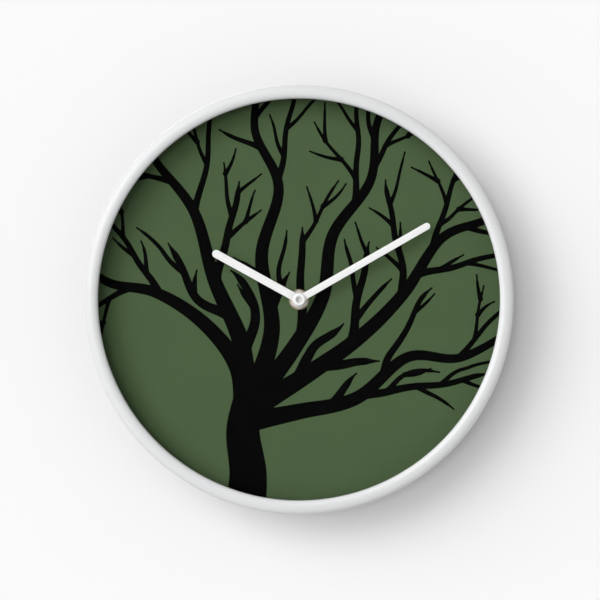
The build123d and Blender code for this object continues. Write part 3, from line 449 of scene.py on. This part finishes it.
def ink(name, colour, spec, tooth):
    """Printed card: the ink's colour drifts a little, and the paper's tooth shows in its sheen."""
    m, nt, p, out = shader(name)
    fine = noise(nt, 0.00045, 2, 0.5)
    wide = noise(nt, 0.03, 3, 0.5)
    a = two(nt, remap(nt, wide, 0, 1), tuple(c * 0.985 for c in colour), tuple(c * 1.015 for c in colour))
    b = two(nt, remap(nt, fine, 0, tooth), a, tuple(c * 1.35 for c in colour))
    nt.links.new(b, p.inputs["Base Color"])
    nt.links.new(remap(nt, fine, 0.62, 0.78), p.inputs["Roughness"])
    p.inputs["Specular IOR Level"].default_value = spec
    nt.links.new(bump(nt, fine, 0.12, 0.00002), p.inputs["Normal"])
    return m


GREEN = ink("green_ink", (0.0683, 0.1103, 0.0489), 0.12, 0.10)
BLACK = ink("black_ink", (0.0014, 0.0014, 0.0014), 0.03, 0.2)
CARD = solid("card_edge", (0.74, 0.73, 0.70), 0.85, spec=0.2, vary=0.05, vary_size=0.002, grain=0.3, grain_size=0.0003)


def clear_acrylic():
    """Thin clear sheet with a coating against glare: light passes straight through, and it mirrors a little."""
    m = bpy.data.materials.new("clear_acrylic")
    m.use_nodes = True
    nt = m.node_tree
    nt.nodes.clear()
    out = nt.nodes.new("ShaderNodeOutputMaterial")
    tr = nt.nodes.new("ShaderNodeBsdfTransparent")
    tr.inputs[0].default_value = (1, 1, 1, 1)
    gl = nt.nodes.new("ShaderNodeBsdfGlossy")
    gl.inputs["Color"].default_value = (1, 1, 1, 1)
    gl.inputs["Roughness"].default_value = 0.03
    fr = nt.nodes.new("ShaderNodeFresnel")
    fr.inputs["IOR"].default_value = 1.20
    mix = nt.nodes.new("ShaderNodeMixShader")
    nt.links.new(fr.outputs[0], mix.inputs[0])
    nt.links.new(tr.outputs[0], mix.inputs[1])
    nt.links.new(gl.outputs[0], mix.inputs[2])
    nt.links.new(mix.outputs[0], out.inputs[0])
    return m


LENS_MAT = clear_acrylic()

for node, mat in {
    "dial_spacer_ring": BLACK_RING, "rear_spacer_ring": BLACK_RING, "dial_plate": BOARD, "back_cover": COVER, "back_cover_screws": ZINC,
    "shaft_bush": BRASS, "fixing_washer": BRASS_IN_PAINTED_SHADE, "cannon_pinion": BRASS, "hour_hand_collet": BRASS, "fixing_nut": SATIN,
    "rubber_gasket": RUBBER, "movement_case": CASE, "movement_lid": LID,
    "hour_wheel": ACETAL, "motion_wheel": ACETAL, "centre_wheel": ACETAL, "third_wheel": ACETAL, "second_wheel": ACETAL,
    "intermediate_wheel": ACETAL, "rotor_pinion": ACETAL, "train_bridge": ACETAL, "setting_stem": ACETAL_BLACK,
    "setting_knob": ACETAL_BLACK, "clutch_spring": SPRING, "clutch_clip": SPRING, "second_arbor": SPRING, "rotor_magnet": FERRITE,
    "stator": STATOR, "coil_core": STATOR, "coil_bobbin": BOBBIN, "coil_winding": winding(), "coil_leads": BRASS,
    "circuit_board": LAMINATE, "chip_cover": RESIN, "quartz_crystal": CRYSTAL, "contact_positive": CONTACT,
    "contact_negative": CONTACT, "battery_cell": CELL, "battery_sleeve": sleeve(),
}.items():
    dress(node, mat)


# ------------------------------------------------------------------ rim
lo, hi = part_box("frame_ring")
R_OUT, DEPTH = hi.x / MM, -lo.y / MM
R_IN, COVER_T, R_BORE = R_OUT - 8.0, -hi.y / MM, 120.6
BEAD, IN_H, FLANK, KNEE = (4.9, 3.4), 2.3, (1.1, 5.0), 0.8          # the bead's ellipses, as part.py has them
CREST_R = R_OUT - BEAD[0]
KNEE_A = math.degrees(math.acos((BEAD[0] - KNEE) / BEAD[0]))
FLANK_A = math.degrees(math.acos((FLANK[0] - KNEE) / FLANK[0]))
FLANK_F = DEPTH - BEAD[1] * (1 - math.sin(math.radians(KNEE_A))) - FLANK[1] * math.sin(math.radians(FLANK_A))
profile = ([(R_IN, 40.0)] + oval(CREST_R, DEPTH - IN_H, CREST_R - R_IN, IN_H, 180, 90, 28)
           + oval(CREST_R, DEPTH - BEAD[1], BEAD[0], BEAD[1], 90, KNEE_A, 24)[1:]
           + oval(R_OUT - FLANK[0], FLANK_F, FLANK[0], FLANK[1], FLANK_A, 0, 16)[1:]
           + [(R_OUT, 30.0), (R_OUT, 18.0), (R_OUT, COVER_T + 0.8)] + oval(R_OUT - 0.8, COVER_T + 0.8, 0.8, 0.8, 0, -90, 6)[1:]
           + [(R_BORE + 0.3, COVER_T), (R_BORE, COVER_T + 0.3), (R_BORE, 20.0), (R_BORE, 39.9)])
v, f = lathe(profile, 512)
rim = piece("rim", v, f, [WHITE_RIM], body="housing", stands_for=("frame_ring",), sharp=40)
rim.visible_diffuse = False                          # its glow on the wall would hide the soft shadow

# ------------------------------------------------------------------ lens
lo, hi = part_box("lens")
lr, l0, l1 = hi.x / MM, -hi.y / MM, -lo.y / MM
v, f = lathe([(0, l0), (60, l0), (lr - 0.25, l0), (lr, l0 + 0.25), (lr, l1 - 0.25), (lr - 0.25, l1), (60, l1), (0, l1)], 384)
lens = piece("clear_lens", v, f, [LENS_MAT], body="housing", stands_for=("lens",), sharp=20)

# ------------------------------------------------------------------ dial: card with the printed tree cut into its face
lo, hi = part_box("dial_face")
DR, D0, D1 = hi.x / MM, -hi.y / MM, -lo.y / MM      # back and front of the card
HOLE = 4.15


def ring(r, n, phase=0.0):
    return [(r * math.cos(2 * math.pi * (i + phase) / n), r * math.sin(2 * math.pi * (i + phase) / n)) for i in range(n)]


def dial_mesh():
    n_out, n_in = 360, 64
    outer, inner = ring(DR, n_out), ring(HOLE, n_in)
    pts, faces = [], []

    def add(poly):
        base = len(pts)
        pts.extend(poly)
        faces.append(list(range(base, base + len(poly))))

    add(outer)                       # face 0: the card
    add(inner)                       # face 1: its hole
    limbs = bare_tree(12)
    for limb in limbs:
        left, right = [], []
        for k, (x, z, w) in enumerate(limb):
            a, b = limb[max(0, k - 1)], limb[min(len(limb) - 1, k + 1)]
            dx, dz = b[0] - a[0], b[1] - a[1]
            l = math.hypot(dx, dz) or 1.0
            left.append((x - dz / l * w, z + dx / l * w))
            right.append((x + dz / l * w, z - dx / l * w))
        for k in range(len(limb) - 1):
            if min(math.hypot(limb[k][0], limb[k][1]), math.hypot(limb[k + 1][0], limb[k + 1][1])) < DR + 3:
                add([left[k], right[k], right[k + 1], left[k + 1]])
        x, z, w = limb[-1]
        add([(x + w * math.cos(math.radians(t)), z + w * math.sin(math.radians(t))) for t in range(0, 360, 45)])
        if limb is not limbs[0]:
            x, z, w = limb[0]
            add([(x + w * 0.98 * math.cos(math.radians(t)), z + w * 0.98 * math.sin(math.radians(t))) for t in range(0, 360, 24)])
    vo, _, fo, _, _, ids = delaunay_2d_cdt([Vector(p) for p in pts], [], faces, 0, 1e-4)
    top, mat = [], []
    for face, own in zip(fo, ids):
        if 0 not in own or 1 in own:
            continue
        top.append(list(face))
        mat.append(1 if any(i > 1 for i in own) else 0)
    used = sorted({i for t in top for i in t})
    new = {i: k for k, i in enumerate(used)}
    verts = [(vo[i].x * MM, -D1 * MM, vo[i].y * MM) for i in used]
    top = [[new[i] for i in t] for t in top]
    # walls follow the face's own border, and the back is a plain ring
    count = {}
    for t in top:
        for a, b in zip(t, t[1:] + t[:1]):
            count[(a, b)] = count.get((a, b), 0) + 1
    border = [(a, b) for (a, b) in count if (b, a) not in count]
    low = {}
    for a, b in border:
        for i in (a, b):
            if i not in low:
                low[i] = len(verts)
                verts.append((verts[i][0], -D0 * MM, verts[i][2]))
    faces3, mats3 = [], []
    n = Vector((0, -1, 0))
    for t, m in zip(top, mat):
        p = [Vector(verts[i]) for i in t]
        turned_over = (p[1] - p[0]).cross(p[2] - p[0]).dot(n) < 0
        faces3.append(t[::-1] if turned_over else t)
        mats3.append(m)
    flip = (Vector(verts[top[0][1]]) - Vector(verts[top[0][0]])).cross(Vector(verts[top[0][2]]) - Vector(verts[top[0][0]])).dot(n) < 0
    for a, b in border:
        quad = [b, a, low[a], low[b]]
        faces3.append(quad[::-1] if flip else quad)
        mats3.append(2)
    # back face: triangulate between the two loops of lower points
    loop = sorted(low.values())
    back_pts = [Vector((verts[i][0] / MM, verts[i][2] / MM)) for i in loop]
    where = {k: i for k, i in enumerate(loop)}
    edges = [(loop.index(low[a]), loop.index(low[b])) for a, b in border]
    vb, _, fb, ov, _, _ = delaunay_2d_cdt(back_pts, edges, [], 1, 1e-4)
    back = {k: where[o[0]] for k, o in enumerate(ov) if o}
    for t in fb:
        if not all(i in back for i in t):
            continue
        c = sum((Vector(vb[i]) for i in t), Vector((0, 0))) / 3
        if c.length < HOLE * 0.98:
            continue
        p = [Vector(verts[back[i]]) for i in t]
        up = (p[1] - p[0]).cross(p[2] - p[0]).dot(n) < 0
        faces3.append([back[i] for i in t] if up else [back[i] for i in t][::-1])
        mats3.append(2)
    return verts, faces3, mats3


v, f, w = dial_mesh()
dial = piece("printed_dial", v, f, [GREEN, BLACK, CARD], which=w, smooth=False, body="housing", stands_for=("dial_face",))


# ------------------------------------------------------------------ hands
def baton(length, width, boss, inset, n_tip=28, n_boss=64):
    """Outline of a straight hand along +X with a round tip and a round boss, drawn in by inset."""
    w, b = width / 2 - inset, boss - inset
    tip = length - width / 2
    a = math.asin(min(1.0, w / b))
    pts = [(tip + w * math.cos(t), w * math.sin(t)) for t in [math.radians(-90 + 180 * k / n_tip) for k in range(n_tip + 1)]]
    run = [(b * math.cos(a) + (tip - b * math.cos(a)) * (1 - k / 12), w) for k in range(1, 12)]
    pts += run
    pts += [(b * math.cos(t), b * math.sin(t)) for t in [a + (2 * math.pi - 2 * a) * k / n_boss for k in range(n_boss + 1)]]
    pts += [(x, -z) for x, z in reversed(run)]
    return pts


def hand(name, length, width, boss, hole, f0, thick, clock, mats, body, node):
    ang = math.radians(90 - clock)
    ca, sa = math.cos(ang), math.sin(ang)
    levels = [(0.06, f0), (0.0, f0 + 0.06), (0.0, f0 + thick - 0.2), (0.045, f0 + thick - 0.09), (0.12, f0 + thick - 0.03), (0.24, f0 + thick)]
    n_hole = 48
    verts, outs, holes = [], [], []

    def put(p, fr):
        verts.append(((p[0] * ca - p[1] * sa) * MM, -fr * MM, (p[0] * sa + p[1] * ca) * MM))
        return len(verts) - 1

    for inset, fr in levels:
        outs.append([put(p, fr) for p in baton(length, width, boss, inset)])
    for grow, fr in ((0.05, f0), (0.0, f0 + 0.05), (0.0, f0 + thick - 0.05), (0.05, f0 + thick)):
        holes.append([put(p, fr) for p in ring(hole + grow, n_hole)])
    faces = []
    n = len(outs[0])
    for a, b in zip(outs, outs[1:]):
        for i in range(n):
            j = (i + 1) % n
            faces.append([a[i], a[j], b[j], b[i]])
    for a, b in zip(holes, holes[1:]):
        for i in range(n_hole):
            j = (i + 1) % n_hole
            faces.append([a[j], a[i], b[i], b[j]])
    for o_loop, h_loop, inset, grow, front in ((outs[0], holes[0], levels[0][0], 0.05, False), (outs[-1], holes[-1], levels[-1][0], 0.05, True)):
        o2 = baton(length, width, boss, inset)
        h2 = ring(hole + grow, n_hole)
        flat = [Vector(p) for p in o2 + h2]
        ids = o_loop + h_loop
        vo, _, fo, ov, _, own = delaunay_2d_cdt(flat, [], [list(range(n)), list(range(n, n + n_hole))], 0, 1e-6)
        back = {k: ids[o[0]] for k, o in enumerate(ov) if o}
        for t, w in zip(fo, own):
            if 0 in w and 1 not in w and all(i in back for i in t):
                tri = [back[i] for i in t]
                faces.append(tri if front else tri[::-1])
    # every face's direction is checked by the volume's sign
    vol = 0.0
    for fc in faces:
        p0 = Vector(verts[fc[0]])
        for t in range(1, len(fc) - 1):
            vol += p0.dot(Vector(verts[fc[t]]).cross(Vector(verts[fc[t + 1]])))
    if vol < 0:
        faces = [fc[::-1] for fc in faces]
    return piece(name, verts, faces, mats, body=body, stands_for=(node,), sharp=50)


hour = hand("hour_baton", 57.8, 4.7, 4.0, 2.52, 30.6, 0.5, 298.85, [HAND], "hour_group", "hour_hand")
minute = hand("minute_baton", 88.2, 4.1, 3.65, 1.42, 33.2, 0.5, 60.2, [HAND], "minute_group", "minute_hand")

# ------------------------------------------------------------------ cap nut over the arbor
lo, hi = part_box("hand_nut")
c0, c1, cr = -hi.y / MM, -lo.y / MM, hi.x / MM
dish = [(x, c1 - 0.16 * (0.5 + 0.5 * math.cos(math.pi * x / 2.2))) for x in (1.95, 1.7, 1.45, 1.2, 0.9, 0.6, 0.3)]
profile = ([(0, c0 + 1.85), (1.42, c0 + 1.85), (1.42, c0), (cr - 0.1, c0), (cr, c0 + 0.1), (cr, c1 - 0.60)]
           + oval(2.5, c1 - 0.60, cr - 2.5, 0.60, 0, 90, 20)[1:] + [(2.2, c1)] + dish + [(0, c1 - 0.16)])
v, f = lathe(profile, 128)
# the dished middle of the cap gets the grey painted reflection, the rest the white cap
middle = [1 if all(math.hypot(v[i][0], v[i][2]) < 2.0 * MM for i in t) and v[t[0]][1] < -(c0 + 2.0) * MM else 0 for t in f]
cap = piece("cap_nut", v, f, [CAP, CAP_CENTRE_REFLECTION], which=middle, body="minute_group", stands_for=("hand_nut",), sharp=40)


# ------------------------------------------------------------------ room: pale wall and floor, seen from their front only
def one_sided(name, colour, rough, bounce=1.0):
    """Paint for the room. bounce is how much of its light reaches the object, as a share of what the eye sees."""
    m, nt, p, out = shader(name)
    p.inputs["Roughness"].default_value = rough
    p.inputs["Specular IOR Level"].default_value = 0.0
    geo = nt.nodes.new("ShaderNodeNewGeometry")
    path = nt.nodes.new("ShaderNodeLightPath")
    nt.links.new(two(nt, path.outputs["Is Diffuse Ray"], colour, tuple(c * bounce for c in colour)), p.inputs["Base Color"])
    either = nt.nodes.new("ShaderNodeMath")
    either.operation = "MAXIMUM"
    nt.links.new(geo.outputs["Backfacing"], either.inputs[0])
    nt.links.new(path.outputs["Is Shadow Ray"], either.inputs[1])
    clear = nt.nodes.new("ShaderNodeBsdfTransparent")
    mix = nt.nodes.new("ShaderNodeMixShader")
    nt.links.new(either.outputs[0], mix.inputs[0])
    nt.links.new(p.outputs[0], mix.inputs[1])
    nt.links.new(clear.outputs[0], mix.inputs[2])
    nt.links.new(mix.outputs[0], out.inputs[0])
    return m


def sheet(name, corners, mat):
    me = bpy.data.meshes.new(name)
    me.from_pydata(corners, [], [(0, 1, 2, 3)])
    me.materials.append(mat)
    o = bpy.data.objects.new(name, me)
    SCENE.collection.objects.link(o)
    return o


WALL_ALBEDO = 0.817
WALL_BOUNCE = 0.8
wall_mat = one_sided("wall_paint", (WALL_ALBEDO,) * 3, 0.9, WALL_BOUNCE)
floor_mat = one_sided("floor_paint", (0.86, 0.86, 0.86), 0.9)
S, Y0, Z0 = 5.0, 0.0002, -0.75
sheet("wall", [(-S, Y0, -S), (S, Y0, -S), (S, Y0, S), (-S, Y0, S)], wall_mat)          # faces -Y
floor = sheet("floor", [(-S, -S, Z0), (S, -S, Z0), (S, S, Z0), (-S, S, Z0)], floor_mat)        # faces +Z
floor.visible_diffuse = False                                                          # it throws no light back on the wall

# ------------------------------------------------------------------ light
# Soft directional lights. az is measured in the plane of the wall (0 to the right, 90 up), pol from straight in front,
# and spread is the light's angular diameter. share is the part of a white wall's brightness that it gives.
EXPOSURE = 1.12
AMBIENT = 0.419               # evenly from all round, as a share of white
STUDIO = 0.50                 # what polished parts mirror


def sun(name, az, pol, spread, share, behind=False, mirrored=True):
    a, p = math.radians(az), math.radians(pol)
    d = Vector((math.sin(p) * math.cos(a), (1 if behind else -1) * math.cos(p), math.sin(p) * math.sin(a)))
    data = bpy.data.lights.new(name, "SUN")
    data.angle = math.radians(spread)
    data.energy = EXPOSURE * share * math.pi / math.cos(p)
    o = bpy.data.objects.new(name, data)
    o.location = d * 2
    o.rotation_mode = "QUATERNION"
    o.rotation_quaternion = (-d).to_track_quat("-Z", "Y")
    o.visible_glossy = mirrored
    SCENE.collection.objects.link(o)
    return o


sun("front", 160, 8, 14, 0.165, mirrored=False)
sun("key", 151, 40, 32, 0.175)
sun("key_upper", 120, 30, 24, 0.084)
sun("key_left", 185, 30, 24, 0.083)
sun("key_low", 150, 55, 40, 0.137)
sun("edge", 156, 78, 20, 0.006)
sun("edge_left", 200, 72, 24, 0.012)
sun("fill_upper", 50, 35, 30, 0.006)
sun("fill_under", 230, 35, 30, 0.012)
sun("back_key", 120, 24, 20, 0.45, behind=True)
sun("back_fill", 320, 28, 30, 0.25, behind=True)

world = bpy.data.worlds.new("studio")
SCENE.world = world
world.use_nodes = True
wt = world.node_tree
wt.nodes.clear()


def wn(kind, **sockets):
    n = wt.nodes.new(kind)
    for k, v in sockets.items():
        n.inputs[k].default_value = v
    return n


wo = wn("ShaderNodeOutputWorld")
tc = wn("ShaderNodeTexCoord")
front = wn("ShaderNodeVectorMath")
front.operation = "DOT_PRODUCT"
front.inputs[1].default_value = (0, -1, 0)
wt.links.new(tc.outputs["Generated"], front.inputs[0])
ramp = wn("ShaderNodeMapRange")                     # 0 within 6.5 degrees of straight in front, 1 beyond 12 degrees
ramp.inputs["From Min"].default_value, ramp.inputs["From Max"].default_value = math.cos(math.radians(6.5)), math.cos(math.radians(12))
wt.links.new(front.outputs["Value"], ramp.inputs["Value"])
studio = wn("ShaderNodeBackground", Color=(1, 1, 1, 1))
level = wn("ShaderNodeMath")
level.operation = "MULTIPLY"
level.inputs[1].default_value = STUDIO
wt.links.new(ramp.outputs[0], level.inputs[0])
wt.links.new(level.outputs[0], studio.inputs["Strength"])
soft = wn("ShaderNodeBackground", Color=(1, 1, 1, 1), Strength=AMBIENT)
seen = wn("ShaderNodeBackground", Color=(0.90, 0.90, 0.90, 1), Strength=1.0)
lp = wn("ShaderNodeLightPath")
m1 = wn("ShaderNodeMixShader")
wt.links.new(lp.outputs["Is Glossy Ray"], m1.inputs[0])
wt.links.new(soft.outputs[0], m1.inputs[1])
wt.links.new(studio.outputs[0], m1.inputs[2])
m2 = wn("ShaderNodeMixShader")
wt.links.new(lp.outputs["Is Camera Ray"], m2.inputs[0])
wt.links.new(m1.outputs[0], m2.inputs[1])
wt.links.new(seen.outputs[0], m2.inputs[2])
wt.links.new(m2.outputs[0], wo.inputs[0])
